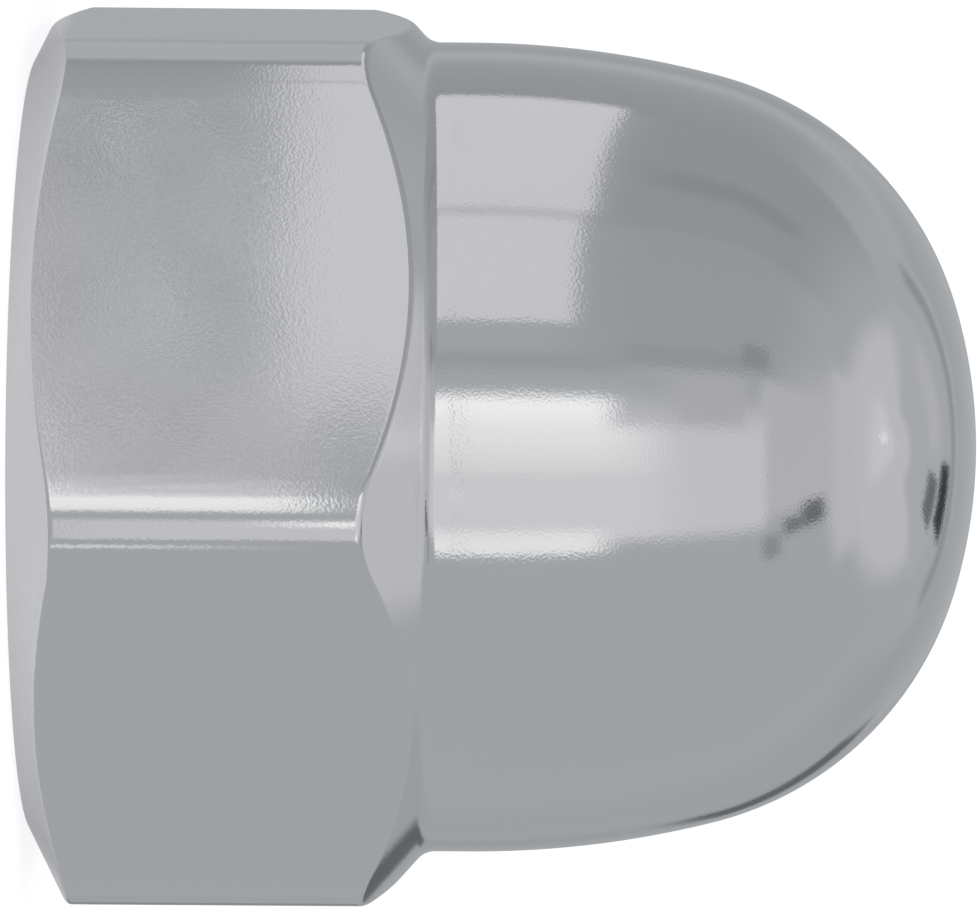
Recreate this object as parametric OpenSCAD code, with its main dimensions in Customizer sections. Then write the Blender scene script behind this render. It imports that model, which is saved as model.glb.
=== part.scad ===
// Domed cap nut: a hexagon and a closed dome in one piece of metal, with a blind threaded hole.
// The nut stands on its bearing face at z = 0, with the dome up and its axis on +Z.

/* [Hexagon] */
// Width across the flats
across_flats = 19; // [17:0.1:22]
// Height of the hexagon, from the bearing face to the foot of the dome
hex_height = 8.8; // [7:0.1:10]
// Radius on the six upright corners
corner_radius = 2.2; // [0.5:0.1:3]
// Distance from a flat in to the rim of the bearing face
bearing_inset = 0.85; // [0.3:0.05:1.2]
// Slope of the chamfer round the bearing face, in degrees from level
base_chamfer = 27; // [15:1:40]
// Slope of the chamfer round the foot of the dome, in degrees from level
top_chamfer = 42; // [20:1:45]

/* [Dome] */
// Overall height of the nut
overall_height = 21.1; // [19:0.1:25]
// Step from a flat in to the dome's barrel
barrel_inset = 0.41; // [0.2:0.01:1.5]
// Length of the straight barrel below the dome's curve
barrel_height = 1; // [0.5:0.1:3]
// Radius of the dome's long flank
flank_radius = 22; // [16:0.5:30]
// Radius of the dome's shoulder
shoulder_radius = 7.5; // [6:0.1:9]
// Radius of the dome's nose
nose_radius = 11.2; // [10:0.1:18]
// Radius of the fillet at the foot of the dome
foot_fillet = 0.5; // [0.3:0.1:2]

/* [Threaded hole] */
// Nominal diameter of the thread
thread_d = 12; // [8:0.5:13]
// Pitch of the thread
thread_pitch = 1.75; // [1:0.25:2]
// Metal left between the drill point and the tip of the dome
crown_wall = 3; // [1.5:0.1:5]
// Included angle of the drill point
drill_point_angle = 118; // [90:1:140]
// How far the countersink opens past the thread, all round
countersink_margin = 0.5; // [0.2:0.1:1]
// Included angle of the countersink
countersink_angle = 120; // [90:5:130]

/* [Hidden] */
$fn = 96;

// Room past the metal for the shapes that trim it
trim_room = 1;
// How far an arc reaches past the lines and arcs it blends into, so that they cross cleanly
blend_overlap = 0.003;

// Hexagon, seen from above with one corner on +X
corner_count = 6;
half_corner = 180 / corner_count;
flat_radius = across_flats / 2;
sharp_corner = flat_radius / cos(half_corner);
corner_centre = (flat_radius - corner_radius) / cos(half_corner);

// Turned outline, as points of radius and height
trim_radius = sharp_corner + trim_room;
bearing_radius = flat_radius - bearing_inset;
barrel_radius = flat_radius - barrel_inset;
barrel_top = hex_height + barrel_height;
base_chamfer_rise = (trim_radius - bearing_radius) * tan(base_chamfer);
top_chamfer_fall = (trim_radius - barrel_radius) * tan(top_chamfer);

// Fillet at the foot of the dome, tangent to the barrel and to the chamfer below it
half_fillet_turn = (90 - top_chamfer) / 2;
fillet_reach = foot_fillet * tan(half_fillet_turn);
fillet_centre = [barrel_radius + foot_fillet, hex_height + fillet_reach];
fillet_end = [barrel_radius, hex_height] + fillet_reach * [cos(top_chamfer), -sin(top_chamfer)];

// Dome: the shoulder arc lies inside the flank and nose arcs and touches both
flank_centre = [barrel_radius - flank_radius, barrel_top];
nose_centre = [0, overall_height - nose_radius];
shoulder_centre = left_crossing(
    flank_centre, flank_radius - shoulder_radius, nose_centre, nose_radius - shoulder_radius);

// Threaded hole, bored to the thread's minor diameter
thread_triangle = thread_pitch * sqrt(3) / 2;
bore_radius = thread_d / 2 - thread_triangle * 5 / 8;
drill_point_height = bore_radius / tan(drill_point_angle / 2);
hole_end = overall_height - crown_wall;
bore_end = hole_end - drill_point_height;
countersink_radius = thread_d / 2 + countersink_margin;
countersink_depth = (countersink_radius - bore_radius) / tan(countersink_angle / 2);

// Unit vector from one point to another
function toward(from, to) = (to - from) / norm(to - from);

// The crossing of two circles on the left of the way from the first centre to the second
function left_crossing(centre_a, radius_a, centre_b, radius_b) =
    let (
        gap = norm(centre_b - centre_a),
        along = (radius_a ^ 2 - radius_b ^ 2 + gap ^ 2) / (2 * gap),
        aside = sqrt(radius_a ^ 2 - along ^ 2),
        unit = toward(centre_a, centre_b),
        across = [-unit.y, unit.x]
    )
    centre_a + along * unit + aside * across;

// Outline of the hexagon, with a round on each corner
module rounded_hexagon() {
    difference() {
        circle(r = sharp_corner, $fn = corner_count);
        for (k = [0 : corner_count - 1])
            rotate(k * 2 * half_corner)
                corner_cutter();
    }
}

// What the round takes off one corner
module corner_cutter() {
    translate([corner_centre, 0])
        difference() {
            translate([corner_radius * cos(half_corner), -corner_radius])
                square([corner_radius + trim_room, 2 * corner_radius]);
            circle(r = corner_radius + blend_overlap);
        }
}

// Half section of the solid of revolution that trims the hexagon and makes the dome
module turned_section() {
    polygon([
        [0, 0],
        [bearing_radius, 0],
        [trim_radius, base_chamfer_rise],
        [trim_radius, hex_height - top_chamfer_fall],
        [barrel_radius, hex_height],
        [barrel_radius, barrel_top],
        [0, barrel_top]
    ]);
    foot_fillet_section();
    dome_section();
}

// The fillet, sunk into the metal behind it
module foot_fillet_section() {
    difference() {
        polygon([
            [barrel_radius - foot_fillet, fillet_centre.y],
            [barrel_radius - foot_fillet, hex_height - foot_fillet],
            fillet_end - [0, foot_fillet],
            fillet_end,
            [barrel_radius, fillet_centre.y]
        ]);
        translate(fillet_centre)
            circle(r = foot_fillet + blend_overlap);
    }
}

// Flank and nose arcs, with the corner between them taken back to the shoulder arc
module dome_section() {
    shoulder_sweep = 2 * shoulder_radius;
    difference() {
        intersection() {
            translate(flank_centre)
                circle(r = flank_radius);
            translate(nose_centre)
                circle(r = nose_radius);
            translate([0, barrel_top])
                square([trim_radius, overall_height]);
        }
        difference() {
            polygon([
                shoulder_centre,
                shoulder_centre + shoulder_sweep * toward(flank_centre, shoulder_centre),
                shoulder_centre + shoulder_sweep * toward(nose_centre, shoulder_centre)
            ]);
            translate(shoulder_centre)
                circle(r = shoulder_radius + blend_overlap);
        }
    }
}

// Half section of the threaded hole: countersink, bore and drill point
module hole_section() {
    polygon([
        [0, -trim_room],
        [countersink_radius + trim_room * tan(countersink_angle / 2), -trim_room],
        [bore_radius, countersink_depth],
        [bore_radius, bore_end],
        [0, hole_end]
    ]);
}

module cap_nut() {
    color("silver")
        difference() {
            intersection() {
                rotate_extrude()
                    turned_section();
                translate([0, 0, -trim_room])
                    linear_extrude(overall_height + 2 * trim_room)
                        rounded_hexagon();
            }
            rotate_extrude()
                hole_section();
        }
}

cap_nut();
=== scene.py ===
from math import acos, atan2, cos, pi, radians, sin, sqrt, tan

import bpy
from mathutils import Matrix, Vector


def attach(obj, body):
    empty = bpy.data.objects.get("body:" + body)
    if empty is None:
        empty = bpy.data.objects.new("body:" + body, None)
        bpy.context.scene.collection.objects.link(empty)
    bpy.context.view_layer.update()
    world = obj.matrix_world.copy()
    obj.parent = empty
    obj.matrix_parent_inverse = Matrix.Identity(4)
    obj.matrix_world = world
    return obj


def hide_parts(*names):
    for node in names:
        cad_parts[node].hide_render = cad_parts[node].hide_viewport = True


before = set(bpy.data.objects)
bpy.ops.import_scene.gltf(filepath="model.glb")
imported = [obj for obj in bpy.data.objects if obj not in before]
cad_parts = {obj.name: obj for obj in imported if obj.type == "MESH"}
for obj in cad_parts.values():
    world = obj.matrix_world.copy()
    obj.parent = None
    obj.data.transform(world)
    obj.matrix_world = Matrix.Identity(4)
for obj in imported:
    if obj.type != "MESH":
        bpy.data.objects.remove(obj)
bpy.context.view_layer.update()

# Domed cap nut in chrome plate: one closed mesh, in millimetres until it is written to Blender.
MM = 0.001

# Sizes of the solid, as in the part's source
ACROSS_FLATS = 19
HEX_HEIGHT = 8.8
CORNER_RADIUS = 2.2
BEARING_INSET = 0.85
BASE_CHAMFER = radians(27)
TOP_CHAMFER = radians(42)
OVERALL_HEIGHT = 21.1
BARREL_INSET = 0.41
BARREL_HEIGHT = 1
FLANK_RADIUS = 22
SHOULDER_RADIUS = 7.5
NOSE_RADIUS = 11.2
FOOT_FILLET = 0.5
THREAD_D = 12
THREAD_PITCH = 1.75
CROWN_WALL = 3
DRILL_POINT_ANGLE = radians(118)
COUNTERSINK_MARGIN = 0.5
COUNTERSINK_ANGLE = radians(120)

# Small rounds that polishing and plating leave on the edges
RIM_ROUND = 0.14
EDGE_ROUND = 0.18
FOOT_EDGE_ROUND = 0.22

# Mesh: columns round each corner and flat, points along each stretch of the outside from below to the tip,
# and short steps beside a round that hold the faces next to it flat
CORNER_COLUMNS = 25
FLAT_COLUMNS = 21
FLAT_END_STEP = 0.25
BEARING_ROWS = 3
RIM_ROWS = 5
CHAMFER_ROWS = 4
EDGE_ROWS = 9
SIDE_ROWS = 12
FOOT_EDGE_ROWS = 11
FOOT_ROWS = 25
BARREL_ROWS = 2
FLANK_ROWS = 20
SHOULDER_ROWS = 44
NOSE_ROWS = 28
HOLDING_STEP = 0.03

# Faces that meet at more than this keep a sharp edge between them
SHARP_EDGE = radians(24)

# Sizes that follow
CORNERS = 6
HALF_CORNER = pi / CORNERS
FLAT_RADIUS = ACROSS_FLATS / 2
CORNER_CENTRE = (FLAT_RADIUS - CORNER_RADIUS) / cos(HALF_CORNER)
BEARING_RADIUS = FLAT_RADIUS - BEARING_INSET
BARREL_RADIUS = FLAT_RADIUS - BARREL_INSET
BARREL_TOP = HEX_HEIGHT + BARREL_HEIGHT
FILLET_TURN = pi / 2 - TOP_CHAMFER
FILLET_REACH = FOOT_FILLET * tan(FILLET_TURN / 2)
FILLET_CENTRE = Vector((BARREL_RADIUS + FOOT_FILLET, HEX_HEIGHT + FILLET_REACH))
THREAD_MINOR = THREAD_D / 2 - THREAD_PITCH * sqrt(3) / 2 * 5 / 8
THREAD_MAJOR = THREAD_D / 2
HOLE_END = OVERALL_HEIGHT - CROWN_WALL
BORE_END = HOLE_END - THREAD_MINOR / tan(DRILL_POINT_ANGLE / 2)
COUNTERSINK_RADIUS = THREAD_MAJOR + COUNTERSINK_MARGIN
COUNTERSINK_DEPTH = (COUNTERSINK_RADIUS - THREAD_MINOR) / tan(COUNTERSINK_ANGLE / 2)

# Thread form over one pitch, as phase and radius: root, flank, crest, flank
THREAD_FORM = (
    (0.0, THREAD_MAJOR),
    (0.125, THREAD_MAJOR),
    (0.4375, THREAD_MINOR),
    (0.6875, THREAD_MINOR),
)

# Where the thread stops short of the bore's end, the length over which it runs out,
# and the least height between a thread point and the row below or above it
THREAD_END = BORE_END - 1.6
THREAD_LEAD = 3.2
KNOT_CLEARANCE = 0.03

# The photograph's view: the camera looks level across the nut with the dome to its right
IMAGE_WIDTH = 977
FOCAL_PIXELS = 4985
CAMERA_DISTANCE = 112.4
CAMERA_AZIMUTH = radians(20.5)
CAMERA_RAISE = radians(-0.735)
CAMERA_ROLL = radians(0.453)
AIM_HEIGHT = 10.161
AIM_DROP = 0.198
SENSOR_WIDTH = 36

# Chrome finish: cells of its ripples and clouds, the ripple's height, roughness and colours
PEEL_CELL = 0.06
SWELL_CELL = 0.9
SWELL_SHARE = 0.8
RIPPLE_HEIGHT = 0.0013
HAZE_CELL = 2.4
CLOUD_CELL = 5
LEAST_ROUGH = 0.06
MOST_ROUGH = 0.09
COOL_CHROME = (0.612, 0.628, 0.636, 1)
PALE_CHROME = (0.632, 0.636, 0.642, 1)

# The part of a noise texture's range that is stretched over the range asked for
NOISE_LOW = 0.3
NOISE_HIGH = 0.7

# Panels: how much of their light the chrome sends back, and their tints
CHROME_SHARE = 0.63
LILAC = (1.008, 0.98, 1.028)
WHITE = (1.02, 1.003, 0.994)
GREY = (0.97, 1.008, 1.04)

# Grain of the cloth low down in front: its share of the light, and its cell in degrees
CLOTH_GRAIN = 0.65
GRAIN_CELL = 0.62

# World, floor and paper: their colours and sizes, and the paper's glow to the camera
WORLD_COLOUR = (0.545, 0.566, 0.585, 1)
FLOOR_COLOUR = (0.86, 0.88, 0.885, 1)
FLOOR_REACH = 900
FLOOR_DROP = 0.3
PAPER_COLOUR = (0.45, 0.45, 0.45, 1)
PAPER_TINT = (1, 0.983, 1.008, 1)
GLOW_IN_VIEW = 0.81

# The paper's glow in the metal, a painted shade under the nut that grows into painted light towards the
# camera from one distance to another
PAINTED_SHADE_FROM = 3
PAINTED_LIGHT_FROM = 8.8
PAINTED_SHADE_GLOW = 0.33
PAINTED_LIGHT_GLOW = 0.61

# The paper: distance back from the nut, half width and height along it, then an upright bend
PAPER_LIE = [(-11, 10.4, 0), (0, 11, 0), (20, 13, 0), (90, 21, 0)]
PAPER_BEND = 20
BACKDROP_HALF = 22
BACKDROP_TOP = 45

TO_CAMERA = Vector((sin(CAMERA_AZIMUTH), -cos(CAMERA_AZIMUTH), 0))
IMAGE_DOWN = Vector((cos(CAMERA_AZIMUTH), sin(CAMERA_AZIMUTH), 0))
UPRIGHT = Vector((0, 0, 1))


def spread(start, end, count):
    """Evenly spaced numbers from start to end, with both ends."""
    return [start + (end - start) * k / (count - 1) for k in range(count)]


def crossing(centre_a, radius_a, centre_b, radius_b):
    """The crossing of two circles on the left of the way from the first centre to the second."""
    line = centre_b - centre_a
    gap = line.length
    along = (radius_a ** 2 - radius_b ** 2 + gap ** 2) / (2 * gap)
    aside = sqrt(radius_a ** 2 - along ** 2)
    unit = line / gap
    across = Vector((-unit.y, unit.x))
    return centre_a + along * unit + aside * across


def arc(centre, radius, start, end, count):
    """Points of an arc in the half section, between two angles from level."""
    return [centre + radius * Vector((cos(turn), sin(turn))) for turn in spread(start, end, count)]


def rounded_corner(corner, inward, outward, radius, count):
    """A round between two lines, given their unit directions of travel."""
    turn = acos(max(-1, min(1, inward.dot(outward))))
    taken = radius * tan(turn / 2)
    centre = corner + (outward - inward).normalized() * radius / cos(turn / 2)
    first = corner - inward * taken - centre
    last = corner + outward * taken - centre
    points = []
    for share in spread(0, 1, count):
        blend = first * sin((1 - share) * turn) + last * sin(share * turn)
        points.append(centre + blend / sin(turn))
    return points


def between(start, end, count):
    """Points between two others, without them."""
    return [start.lerp(end, k / (count + 1)) for k in range(1, count + 1)]


def hexagon_columns():
    """Angle and radius of the hexagon's outline at each column of the mesh."""
    flat_half = CORNER_CENTRE * sin(HALF_CORNER)
    along_flat = [-flat_half + HOLDING_STEP]
    along_flat += spread(-flat_half + FLAT_END_STEP, flat_half - FLAT_END_STEP, FLAT_COLUMNS)
    along_flat += [flat_half - HOLDING_STEP]
    columns = []
    for k in range(CORNERS):
        facing = 2 * k * HALF_CORNER
        centre = CORNER_CENTRE * Vector((cos(facing), sin(facing)))
        for turn in spread(facing - HALF_CORNER, facing + HALF_CORNER, CORNER_COLUMNS):
            columns.append(centre + CORNER_RADIUS * Vector((cos(turn), sin(turn))))
        normal = facing + HALF_CORNER
        for along in along_flat:
            columns.append(Vector((
                FLAT_RADIUS * cos(normal) - along * sin(normal),
                FLAT_RADIUS * sin(normal) + along * cos(normal))))
    return [(atan2(point.y, point.x) % (2 * pi), point.length) for point in columns]


def foot_rows(radius):
    """From a flat or corner up to the barrel: the round on its upper edge, the chamfer and the fillet."""
    slope = Vector((-cos(TOP_CHAMFER), sin(TOP_CHAMFER)))
    fillet_end = FILLET_CENTRE - FOOT_FILLET * Vector((sin(TOP_CHAMFER), cos(TOP_CHAMFER)))
    edge = Vector((radius, fillet_end.y - (radius - fillet_end.x) * tan(TOP_CHAMFER)))
    taken = FOOT_EDGE_ROUND * tan(FILLET_TURN / 2)
    touch = edge + taken * slope
    round_centre = Vector((radius - FOOT_EDGE_ROUND, edge.y - taken))
    turn = FILLET_TURN
    if touch.x < fillet_end.x:
        # No chamfer is left here, so the round runs straight into the fillet
        reach = FILLET_CENTRE.x - round_centre.x
        drop = sqrt((FOOT_FILLET + FOOT_EDGE_ROUND) ** 2 - reach ** 2)
        round_centre.y = FILLET_CENTRE.y - drop
        turn = atan2(drop, reach)
        fillet_end = FILLET_CENTRE - FOOT_FILLET * Vector((cos(turn), sin(turn)))
        touch = fillet_end
    chamfer_length = (fillet_end - touch).length
    total = chamfer_length + FOOT_FILLET * turn
    rows = arc(round_centre, FOOT_EDGE_ROUND, 0, turn, FOOT_EDGE_ROWS)
    for length in spread(0, total, FOOT_ROWS)[1:]:
        if length < chamfer_length:
            rows.append(touch + length * slope)
        else:
            left = turn - (length - chamfer_length) / FOOT_FILLET
            rows.append(FILLET_CENTRE - FOOT_FILLET * Vector((cos(left), sin(left))))
    return rows


def outer_rows(radius):
    """Half section of the outside at one column, from the countersink's mouth out, up and in to the tip."""
    up = Vector((0, 1))
    level = Vector((1, 0))
    chamfer = Vector((cos(BASE_CHAMFER), sin(BASE_CHAMFER)))
    rim = Vector((BEARING_RADIUS, 0))
    edge = rim + chamfer * (radius - BEARING_RADIUS) / cos(BASE_CHAMFER)
    rim_arc = rounded_corner(rim, level, chamfer, RIM_ROUND, RIM_ROWS)
    edge_arc = rounded_corner(edge, chamfer, up, EDGE_ROUND, EDGE_ROWS)
    foot = foot_rows(radius)

    rows = between(Vector((COUNTERSINK_RADIUS, 0)), rim_arc[0], BEARING_ROWS)
    rows += [rim_arc[0] - level * HOLDING_STEP] + rim_arc + [rim_arc[-1] + chamfer * HOLDING_STEP]
    chamfer_start = rim_arc[-1] + chamfer * HOLDING_STEP
    chamfer_end = edge_arc[0] - chamfer * HOLDING_STEP
    rows += between(chamfer_start, chamfer_end, CHAMFER_ROWS)
    rows += [edge_arc[0] - chamfer * HOLDING_STEP] + edge_arc
    low = edge_arc[-1] + up * HOLDING_STEP
    high = foot[0] - up * HOLDING_STEP
    rows += [low] + between(low, high, SIDE_ROWS) + [high] + foot
    rows += between(rows[-1], Vector((BARREL_RADIUS, BARREL_TOP)), BARREL_ROWS)

    flank_centre = Vector((BARREL_RADIUS - FLANK_RADIUS, BARREL_TOP))
    nose_centre = Vector((0, OVERALL_HEIGHT - NOSE_RADIUS))
    shoulder_centre = crossing(
        flank_centre, FLANK_RADIUS - SHOULDER_RADIUS, nose_centre, NOSE_RADIUS - SHOULDER_RADIUS)
    to_flank = shoulder_centre - flank_centre
    to_nose = shoulder_centre - nose_centre
    flank_end = atan2(to_flank.y, to_flank.x)
    shoulder_end = atan2(to_nose.y, to_nose.x)
    rows += arc(flank_centre, FLANK_RADIUS, 0, flank_end, FLANK_ROWS)[:-1]
    rows += arc(shoulder_centre, SHOULDER_RADIUS, flank_end, shoulder_end, SHOULDER_ROWS)[:-1]
    rows += arc(nose_centre, NOSE_RADIUS, shoulder_end, pi / 2, NOSE_ROWS)[:-1]
    return rows


def thread_radius(height, angle):
    """Radius of the thread at a height and angle, as a right-hand helix."""
    phase = (height / THREAD_PITCH - angle / (2 * pi)) % 1
    form = THREAD_FORM + ((1.0, THREAD_MAJOR),)
    for (start, low), (end, high) in zip(form, form[1:]):
        if phase <= end:
            return low + (high - low) * (phase - start) / (end - start)
    return THREAD_MAJOR


def countersink_radius(height):
    """Radius of the countersink at a height."""
    return COUNTERSINK_RADIUS - height * tan(COUNTERSINK_ANGLE / 2)


def thread_column(angle):
    """Half section of the hole at one column, as (key, radius, height), from its mouth to the bore's end."""
    steps = 200
    meeting = COUNTERSINK_DEPTH
    for k in range(steps + 1):
        height = COUNTERSINK_DEPTH * k / steps
        if thread_radius(height, angle) >= countersink_radius(height):
            meeting = height
            break
    rows = [("mouth", COUNTERSINK_RADIUS, 0.0), ("meeting", countersink_radius(meeting), meeting)]
    turns = int(THREAD_END / THREAD_PITCH) + 2
    for turn in range(-1, turns):
        for knot, (phase, radius) in enumerate(THREAD_FORM):
            height = THREAD_PITCH * (turn + phase + angle / (2 * pi))
            if meeting + KNOT_CLEARANCE < height < THREAD_END - KNOT_CLEARANCE:
                fade = min(1, (THREAD_END - height) / THREAD_LEAD)
                limit = THREAD_MINOR + (THREAD_MAJOR - THREAD_MINOR) * fade
                rows.append(((turn, knot), min(radius, limit), height))
    rows.append(("thread end", THREAD_MINOR, THREAD_END))
    rows.append(("bore end", THREAD_MINOR, BORE_END))
    return rows


def ladder(left, right, gap):
    """Triangles up two columns of vertices, each across the shorter of its two diagonals."""
    faces = []
    a = 0
    b = 0
    while a + b < len(left) + len(right) - 2:
        left_ends = a == len(left) - 1
        right_ends = b == len(right) - 1
        if right_ends or not left_ends and gap(left[a + 1], right[b]) < gap(left[a], right[b + 1]):
            faces.append((left[a], left[a + 1], right[b]))
            a += 1
        else:
            faces.append((left[a], right[b + 1], right[b]))
            b += 1
    return faces


def zipped(left, right, same, gap):
    """Faces between two columns of (key, vertex), where the same key on both sides makes a cross edge."""
    places = {key: place for place, (key, _) in enumerate(right)}
    faces = []
    last_left = 0
    last_right = 0
    for place, (key, _) in enumerate(left):
        match = places.get(same(key))
        if match is None or place == 0:
            continue
        left_side = [vertex for _, vertex in left[last_left:place + 1]]
        right_side = [vertex for _, vertex in right[last_right:match + 1]]
        faces += ladder(left_side, right_side, gap)
        last_left = place
        last_right = match
    return faces


def next_turn(key):
    """A thread point's key one full turn further round."""
    if isinstance(key, tuple):
        return (key[0] + 1, key[1])
    return key


def nut_mesh():
    """The whole nut as one closed mesh."""
    columns = hexagon_columns()
    columns.sort()
    vertices = []
    faces = []

    def vertex(radius, angle, height):
        vertices.append((radius * cos(angle) * MM, radius * sin(angle) * MM, height * MM))
        return len(vertices) - 1

    def gap(first, second):
        return (Vector(vertices[first]) - Vector(vertices[second])).length

    tip = vertex(0, 0, OVERALL_HEIGHT)
    drill_tip = vertex(0, 0, HOLE_END)
    outside = []
    inside = []
    for angle, radius in columns:
        hole = [(key, vertex(r, angle, z)) for key, r, z in thread_column(angle)]
        outside.append([hole[0][1]] + [vertex(point.x, angle, point.y) for point in outer_rows(radius)])
        inside.append(hole)
    for k in range(len(columns)):
        after = (k + 1) % len(columns)
        here, there = outside[k], outside[after]
        for row in range(len(here) - 1):
            faces.append((here[row], there[row], there[row + 1], here[row + 1]))
        faces.append((here[-1], there[-1], tip))
        same = next_turn if after == 0 else (lambda key: key)
        faces += zipped(inside[k], inside[after], same, gap)
        faces.append((inside[k][-1][1], drill_tip, inside[after][-1][1]))
    mesh = bpy.data.meshes.new("cap_nut_chrome")
    mesh.from_pydata(vertices, [], faces)
    mesh.validate()
    mesh.polygons.foreach_set("use_smooth", [True] * len(mesh.polygons))
    mesh.set_sharp_from_angle(angle=SHARP_EDGE)
    return mesh


def link(name, mesh):
    """A new object in the scene."""
    item = bpy.data.objects.new(name, mesh)
    bpy.context.scene.collection.objects.link(item)
    return item


def new_material(name):
    """A material with no nodes yet, its nodes and its links."""
    material = bpy.data.materials.new(name)
    material.use_nodes = True
    nodes = material.node_tree.nodes
    nodes.clear()
    return material, nodes, material.node_tree.links


def chrome_material():
    """Polished chrome plate with a fine orange peel and a little haze that comes and goes."""
    material, nodes, links = new_material("chrome_plate")
    output = nodes.new("ShaderNodeOutputMaterial")
    shader = nodes.new("ShaderNodeBsdfPrincipled")
    shader.inputs["Metallic"].default_value = 1
    links.new(shader.outputs["BSDF"], output.inputs["Surface"])
    place = nodes.new("ShaderNodeTexCoord")

    def noise(cell, detail, roughness):
        node = nodes.new("ShaderNodeTexNoise")
        node.inputs["Scale"].default_value = 1 / (cell * MM)
        node.inputs["Detail"].default_value = detail
        node.inputs["Roughness"].default_value = roughness
        links.new(place.outputs["Object"], node.inputs["Vector"])
        return node

    def mapped(source, low, high):
        node = nodes.new("ShaderNodeMapRange")
        node.inputs["From Min"].default_value = NOISE_LOW
        node.inputs["From Max"].default_value = NOISE_HIGH
        node.inputs["To Min"].default_value = low
        node.inputs["To Max"].default_value = high
        links.new(source, node.inputs["Value"])
        return node.outputs["Result"]

    haze = noise(HAZE_CELL, 3, 0.6)
    links.new(mapped(haze.outputs["Fac"], LEAST_ROUGH, MOST_ROUGH), shader.inputs["Roughness"])
    tint = nodes.new("ShaderNodeMix")
    tint.data_type = "RGBA"
    tint.inputs["A"].default_value = COOL_CHROME
    tint.inputs["B"].default_value = PALE_CHROME
    cloud = noise(CLOUD_CELL, 2, 0.5)
    links.new(cloud.outputs["Fac"], tint.inputs["Factor"])
    links.new(tint.outputs["Result"], shader.inputs["Base Color"])

    peel = noise(PEEL_CELL, 1, 0.4)
    swell = noise(SWELL_CELL, 1, 0.4)
    height = nodes.new("ShaderNodeMath")
    height.operation = "MULTIPLY_ADD"
    height.inputs[1].default_value = SWELL_SHARE
    links.new(swell.outputs["Fac"], height.inputs[0])
    links.new(peel.outputs["Fac"], height.inputs[2])
    bump = nodes.new("ShaderNodeBump")
    bump.inputs["Strength"].default_value = 1
    bump.inputs["Distance"].default_value = RIPPLE_HEIGHT * MM
    links.new(height.outputs["Value"], bump.inputs["Height"])
    links.new(bump.outputs["Normal"], shader.inputs["Normal"])
    return material


def panel_light(level, tint):
    """Light of a panel that the chrome shows at a grey level from 0 to 255."""
    shown = ((level / 255 + 0.055) / 1.055) ** 2.4
    return [shown / CHROME_SHARE * part for part in tint] + [1]


def panel_material(name, azimuths, elevations, lights, fades, grain):
    """A lit panel with one light at each end of its azimuths, a grain and four edges that fade out."""
    material, nodes, links = new_material(name)
    output = nodes.new("ShaderNodeOutputMaterial")
    place = nodes.new("ShaderNodeUVMap")
    split = nodes.new("ShaderNodeSeparateXYZ")
    links.new(place.outputs["UV"], split.inputs["Vector"])

    def ramp(axis, start, end, kind):
        node = nodes.new("ShaderNodeMapRange")
        node.interpolation_type = kind
        node.inputs["From Min"].default_value = start
        node.inputs["From Max"].default_value = end
        links.new(split.outputs[axis], node.inputs["Value"])
        return node.outputs["Result"]

    blend = nodes.new("ShaderNodeMix")
    blend.data_type = "RGBA"
    links.new(ramp("X", *azimuths, "LINEAR"), blend.inputs["Factor"])
    blend.inputs["A"].default_value = lights[0]
    blend.inputs["B"].default_value = lights[1]
    lit = nodes.new("ShaderNodeEmission")
    links.new(blend.outputs["Result"], lit.inputs["Color"])
    if grain > 0:
        cloth = nodes.new("ShaderNodeTexNoise")
        cloth.inputs["Scale"].default_value = 1 / GRAIN_CELL
        cloth.inputs["Detail"].default_value = 0
        links.new(place.outputs["UV"], cloth.inputs["Vector"])
        share = nodes.new("ShaderNodeMapRange")
        share.inputs["From Min"].default_value = NOISE_LOW
        share.inputs["From Max"].default_value = NOISE_HIGH
        share.inputs["To Min"].default_value = 1 - grain
        share.inputs["To Max"].default_value = 1 + grain
        links.new(cloth.outputs["Fac"], share.inputs["Value"])
        links.new(share.outputs["Result"], lit.inputs["Strength"])
    edges = (
        ("X", azimuths[0], azimuths[0] + fades[0]),
        ("X", azimuths[1], azimuths[1] - fades[1]),
        ("Y", elevations[0], elevations[0] + fades[2]),
        ("Y", elevations[1], elevations[1] - fades[3]),
    )
    cover = None
    for axis, edge, inside in edges:
        fade = ramp(axis, edge, inside, "SMOOTHSTEP")
        if cover is None:
            cover = fade
            continue
        both = nodes.new("ShaderNodeMath")
        both.operation = "MULTIPLY"
        links.new(cover, both.inputs[0])
        links.new(fade, both.inputs[1])
        cover = both.outputs["Value"]
    clear = nodes.new("ShaderNodeBsdfTransparent")
    mixed = nodes.new("ShaderNodeMixShader")
    links.new(cover, mixed.inputs["Fac"])
    links.new(clear.outputs["BSDF"], mixed.inputs[1])
    links.new(lit.outputs["Emission"], mixed.inputs[2])
    links.new(mixed.outputs["Shader"], output.inputs["Surface"])
    return material


def direction(azimuth, elevation):
    """Direction from the nut: azimuth from the camera, positive towards the picture's top."""
    level = cos(azimuth) * TO_CAMERA - sin(azimuth) * IMAGE_DOWN
    return cos(elevation) * level + sin(elevation) * UPRIGHT


def panel(name, azimuths, elevations, levels, tint, fades, distance, grain=0):
    """A curved panel round the nut, in degrees, which the camera doesn't see; levels at its two sides."""
    across = 25
    centre = AIM_HEIGHT * UPRIGHT
    vertices = []
    places = []
    for elevation in spread(*elevations, across):
        for azimuth in spread(*azimuths, across):
            vertices.append((centre + distance * direction(radians(azimuth), radians(elevation))) * MM)
            places.append((azimuth, elevation))
    faces = []
    for row in range(across - 1):
        for column in range(across - 1):
            first = row * across + column
            faces.append((first, first + 1, first + across + 1, first + across))
    mesh = bpy.data.meshes.new(name)
    mesh.from_pydata(vertices, [], faces)
    layer = mesh.uv_layers.new(name="UVMap")
    for corner in mesh.loops:
        layer.data[corner.index].uv = places[corner.vertex_index]
    lights = [panel_light(level, tint) for level in levels]
    mesh.materials.append(panel_material(name, azimuths, elevations, lights, fades, grain))
    item = link(name, mesh)
    item.visible_camera = False
    item.visible_shadow = False


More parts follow.
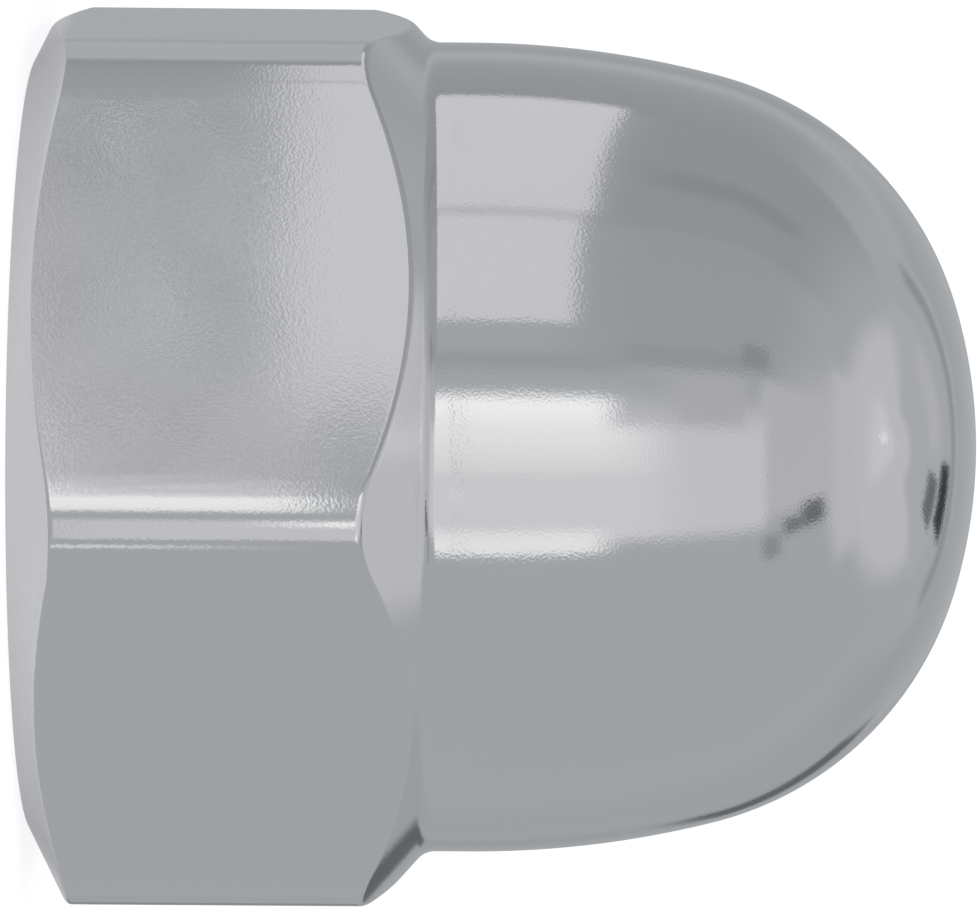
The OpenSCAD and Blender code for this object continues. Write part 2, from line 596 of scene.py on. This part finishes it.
def studio():
    """Panels that the chrome mirrors, by where they stand round the nut."""
    # Ceiling and front, which the dome mirrors
    panel("ceiling", (-180, 180), (63, 89.9), (183, 183), LILAC, (0.1, 0.1, 8, 0.1), 72)
    panel("ceiling_front", (-62, 46), (58, 73), (180, 181), LILAC, (12, 12, 6, 3), 71)
    panel("ceiling_glow", (-45, 75), (75, 89.9), (193, 193), LILAC, (25, 30, 6, 0.1), 70)
    panel("ceiling_lamp", (10, 34), (81.8, 86), (220, 220), WHITE, (8, 8, 1.5, 1.5), 69)
    panel("upper_wall", (-26, 40), (37, 66), (175, 173), LILAC, (7, 22, 4, 5), 68)
    panel("dark_card", (-32, -18.5), (50, 61.5), (102, 102), GREY, (4, 4, 4, 4), 62)
    panel("dark_card_mid", (-31.5, -22.5), (44, 54), (108, 108), GREY, (3.5, 3.5, 4, 4), 61)
    panel("dark_card_low", (-38, -27), (37.5, 46), (135, 135), GREY, (3, 3, 3, 3), 62)
    panel("front_wall", (-28, 18.5), (-1.6, 42.3), (191, 190), LILAC, (6, 16, 0.3, 3.5), 66)
    panel("front_upper", (4, 24), (21, 36), (169, 168), LILAC, (5, 6, 6, 5), 65)
    panel("front_glow", (-25.5, 9), (-1.6, 27), (199, 199), LILAC, (3, 9, 0.3, 8), 64)
    panel("front_strip", (-10, 7), (-1.6, 26), (198, 229), WHITE, (5, 3.5, 0.3, 12), 60)
    panel("front_strip_side", (2, 15), (-1.6, 18.5), (219, 244), WHITE, (4, 4, 0.3, 4), 59)
    panel("side_strip", (-28.5, -20), (-1.6, 18), (226, 218), WHITE, (1.5, 3, 0.3, 5), 60)

    # Side, with two soft boxes, which the dome mirrors
    panel("near_line_low", (18.5, 26), (-1.6, 21), (151, 151), GREY, (3, 3, 0.3, 6), 61)
    panel("near_line_high", (21.5, 30), (15, 37), (146, 146), GREY, (3, 3.5, 5, 4), 61)
    panel("near_streak", (23.5, 33.5), (31, 42), (135, 135), GREY, (3, 3, 3, 3), 60)
    panel("near_shade", (20, 66), (4, 60), (152, 149), GREY, (5, 5, 16, 22), 67)
    panel("far_shade", (60, 114), (8, 64), (145, 143), GREY, (5, 4, 9, 22), 67)
    panel("far_streak", (77, 87), (14, 46), (136, 136), GREY, (3, 3, 8, 8), 65)
    panel("end_shade", (107, 142), (-1.6, 52), (142, 150), GREY, (2.5, 13, 0.3, 27), 66)
    panel("soft_box_low", (32.2, 62.8), (-1.6, 12), (195, 195), LILAC, (0.5, 0.5, 0.2, 0.9), 60)
    panel("soft_box_high", (65, 109.6), (-1.6, 12.9), (195, 196), LILAC, (0.5, 0.5, 0.2, 0.8), 60)
    panel("soft_box_seam", (62, 65.8), (-1.6, 12), (178, 178), LILAC, (0.1, 0.1, 0.2, 0.6), 61)

    # Back, which shows in the rings along the dome's edge
    panel("back_ceiling", (98, 236), (61, 84.5), (166, 166), GREY, (24, 12, 3, 3), 70)
    panel("back_streak", (135, 182), (63.5, 73), (172, 172), LILAC, (8, 5, 3, 3), 69)
    panel("back_line", (132, 216), (50.5, 57), (138, 138), GREY, (6, 6, 2.5, 2.5), 67)
    panel("back_wall", (138, 222), (20, 50), (152, 152), GREY, (10, 8, 8, 2), 69)
    panel("back_wall_low", (138, 222), (-1.6, 28), (142, 142), GREY, (10, 8, 0.3, 8), 68)
    panel("back_dark_low", (182, 203), (56.5, 64.5), (52, 52), GREY, (2, 3, 1.5, 1.5), 66)
    panel("back_dark_high", (188, 210), (64.5, 73), (102, 102), GREY, (2, 3, 2, 2), 66)
    panel("back_post", (206, 217), (9, 32), (90, 90), GREY, (2.5, 2.5, 4, 5), 66)
    panel("far_side", (-172, -105), (-30, 55), (142, 160), GREY, (10, 20, 5, 12), 71)

    # Low down, which only the hexagon mirrors
    panel("low_wall", (-28, -6.5), (-14.5, -1.4), (190, 190), LILAC, (1, 5, 3.5, 0.3), 64)
    panel("low_strip", (-4, 14.5), (-25, -3.9), (222, 234), WHITE, (5.5, 5, 6, 1.1), 60)
    panel("low_spot", (-16.5, -8.5), (-6.8, -1.4), (238, 238), WHITE, (3, 3, 4, 0.3), 62)
    panel("low_line", (-36.8, -32.6), (-25, -4.4), (200, 200), LILAC, (1, 1, 6, 6), 63)
    panel("low_glow", (9, 38.5), (-25, -3.4), (205, 169), LILAC, (3, 3.5, 6, 2), 63, CLOTH_GRAIN)
    panel("low_grey", (32, 46), (-25, -3.4), (178, 161), GREY, (1, 1, 6, 2), 64, CLOTH_GRAIN)
    panel("low_glow_near", (11, 44), (-25, -10.3), (226, 163), LILAC, (4, 0.5, 6, 2.4), 62, CLOTH_GRAIN)
    panel("low_box", (34.7, 62.8), (-6.5, -1.4), (197, 197), LILAC, (2.4, 0.5, 1.9, 0.2), 61)
    panel("low_box_far", (65.5, 86), (-6.5, -1.4), (194, 194), LILAC, (0.5, 0.5, 1.9, 0.2), 61)
    panel("low_box_seam", (62, 66), (-6.5, -1.4), (181, 181), LILAC, (0.1, 0.1, 1.9, 0.2), 62)
    panel("low_edge", (85, 96), (-25, -1.4), (144, 148), GREY, (0.5, 6.5, 6, 0.3), 62)
    panel("low_shade", (45, 87), (-25, -5.2), (157, 147), GREY, (1, 0.3, 6, 1.5), 65)
    panel("low_back", (86, 136), (-25, -1.4), (169, 163), GREY, (4, 6, 6, 0.3), 67)
    panel("low_back_far", (128, 222), (-25, -1.4), (156, 119), GREY, (7, 6, 6, 0.3), 66)


def floor_and_paper():
    """A pale floor, and a sheet of white paper on it that runs back from the nut and up as a backdrop, whose
    glow in the chrome carries a painted shade.
    """
    material, nodes, links = new_material("floor")
    output = nodes.new("ShaderNodeOutputMaterial")
    paint = nodes.new("ShaderNodeBsdfDiffuse")
    paint.inputs["Color"].default_value = FLOOR_COLOUR
    links.new(paint.outputs["BSDF"], output.inputs["Surface"])
    reach = FLOOR_REACH * MM
    ground = bpy.data.meshes.new("floor")
    rim = [(reach * cos(turn), reach * sin(turn), -FLOOR_DROP * MM) for turn in spread(0, 2 * pi, 65)[:-1]]
    ground.from_pydata(rim, [], [list(range(len(rim)))])
    ground.materials.append(material)
    base = link("floor", ground)
    base.visible_glossy = False

    material, nodes, links = new_material("white_paper")
    output = nodes.new("ShaderNodeOutputMaterial")
    paint = nodes.new("ShaderNodeBsdfDiffuse")
    paint.inputs["Color"].default_value = PAPER_COLOUR
    glow = nodes.new("ShaderNodeEmission")
    glow.inputs["Color"].default_value = PAPER_TINT
    rays = nodes.new("ShaderNodeLightPath")

    def joined(operation, first, second):
        node = nodes.new("ShaderNodeMath")
        node.operation = operation
        for socket, value in zip(node.inputs, (first, second)):
            if isinstance(value, float):
                socket.default_value = value
            else:
                links.new(value, socket)
        return node.outputs["Value"]

    # Painted shade and painted light: the paper's glow as the chrome mirrors it is lower under and behind
    # the nut and rises towards the camera, standing in for the nut's contact shadow and the light from the
    # front; the camera sees an even glow
    faced = nodes.new("ShaderNodeNewGeometry")
    ahead = nodes.new("ShaderNodeVectorMath")
    ahead.operation = "DOT_PRODUCT"
    ahead.inputs[1].default_value = TO_CAMERA
    links.new(faced.outputs["Position"], ahead.inputs[0])
    painted_glow_ramp = nodes.new("ShaderNodeMapRange")
    painted_glow_ramp.inputs["From Min"].default_value = PAINTED_SHADE_FROM * MM
    painted_glow_ramp.inputs["From Max"].default_value = PAINTED_LIGHT_FROM * MM
    painted_glow_ramp.inputs["To Min"].default_value = PAINTED_SHADE_GLOW
    painted_glow_ramp.inputs["To Max"].default_value = PAINTED_LIGHT_GLOW
    links.new(ahead.outputs["Value"], painted_glow_ramp.inputs["Value"])
    mirrored = joined("MAXIMUM", rays.outputs["Is Glossy Ray"], rays.outputs["Is Transmission Ray"])
    in_metal = joined("MULTIPLY", mirrored, painted_glow_ramp.outputs["Result"])
    in_view = joined("MULTIPLY", rays.outputs["Is Camera Ray"], GLOW_IN_VIEW)
    links.new(joined("MAXIMUM", in_metal, in_view), glow.inputs["Strength"])
    lit = nodes.new("ShaderNodeAddShader")
    links.new(paint.outputs["BSDF"], lit.inputs[0])
    links.new(glow.outputs["Emission"], lit.inputs[1])
    clear = nodes.new("ShaderNodeBsdfTransparent")
    sides = nodes.new("ShaderNodeMixShader")
    links.new(faced.outputs["Backfacing"], sides.inputs["Fac"])
    links.new(lit.outputs["Shader"], sides.inputs[1])
    links.new(clear.outputs["BSDF"], sides.inputs[2])
    links.new(sides.outputs["Shader"], output.inputs["Surface"])

    sweep = list(PAPER_LIE)
    bend_start = PAPER_LIE[-1][0]
    for turn in spread(0, pi / 2, 9)[1:]:
        back = bend_start + PAPER_BEND * sin(turn)
        sweep.append((back, BACKDROP_HALF, PAPER_BEND * (1 - cos(turn))))
    sweep.append((bend_start + PAPER_BEND, BACKDROP_HALF, BACKDROP_TOP))
    vertices = []
    for back, half, height in sweep:
        for side in (-1, 1):
            vertices.append((-back * TO_CAMERA + side * half * IMAGE_DOWN + height * UPRIGHT) * MM)
    faces = [(2 * k, 2 * k + 2, 2 * k + 3, 2 * k + 1) for k in range(len(sweep) - 1)]
    paper = bpy.data.meshes.new("white_paper")
    paper.from_pydata(vertices, [], faces)
    paper.materials.append(material)
    if paper.polygons[0].normal.z < 0:
        paper.flip_normals()
    link("white_paper", paper)


def set_world():
    """An even grey round the nut, which the chrome mirrors between the panels."""
    world = bpy.data.worlds.new("studio_grey")
    bpy.context.scene.world = world
    world.use_nodes = True
    background = world.node_tree.nodes["Background"]
    background.inputs["Color"].default_value = WORLD_COLOUR
    background.inputs["Strength"].default_value = 1


def set_camera():
    """The photograph's camera, turned on its side so that the nut's axis runs across the picture."""
    lens = bpy.data.cameras.new("camera")
    lens.sensor_width = SENSOR_WIDTH
    lens.lens = FOCAL_PIXELS / IMAGE_WIDTH * SENSOR_WIDTH
    lens.clip_start = 0.01
    camera = link("camera", lens)
    aim = AIM_HEIGHT * UPRIGHT + AIM_DROP * IMAGE_DOWN
    back = cos(CAMERA_RAISE) * TO_CAMERA + sin(CAMERA_RAISE) * UPRIGHT
    right = cos(CAMERA_RAISE) * UPRIGHT - sin(CAMERA_RAISE) * TO_CAMERA
    up = back.cross(right)
    turned_right = cos(CAMERA_ROLL) * right + sin(CAMERA_ROLL) * up
    turned_up = cos(CAMERA_ROLL) * up - sin(CAMERA_ROLL) * right
    place = (aim + CAMERA_DISTANCE * back) * MM
    camera.matrix_world = Matrix((
        (turned_right.x, turned_up.x, back.x, place.x),
        (turned_right.y, turned_up.y, back.y, place.y),
        (turned_right.z, turned_up.z, back.z, place.z),
        (0, 0, 0, 1)))
    bpy.context.scene.camera = camera


nut = link("cap_nut_chrome", nut_mesh())
nut.data.materials.append(chrome_material())
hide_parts("cap_nut")
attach(nut, "root")

studio()
floor_and_paper()
set_world()
set_camera()
bpy.context.scene.view_settings.view_transform = "Standard"
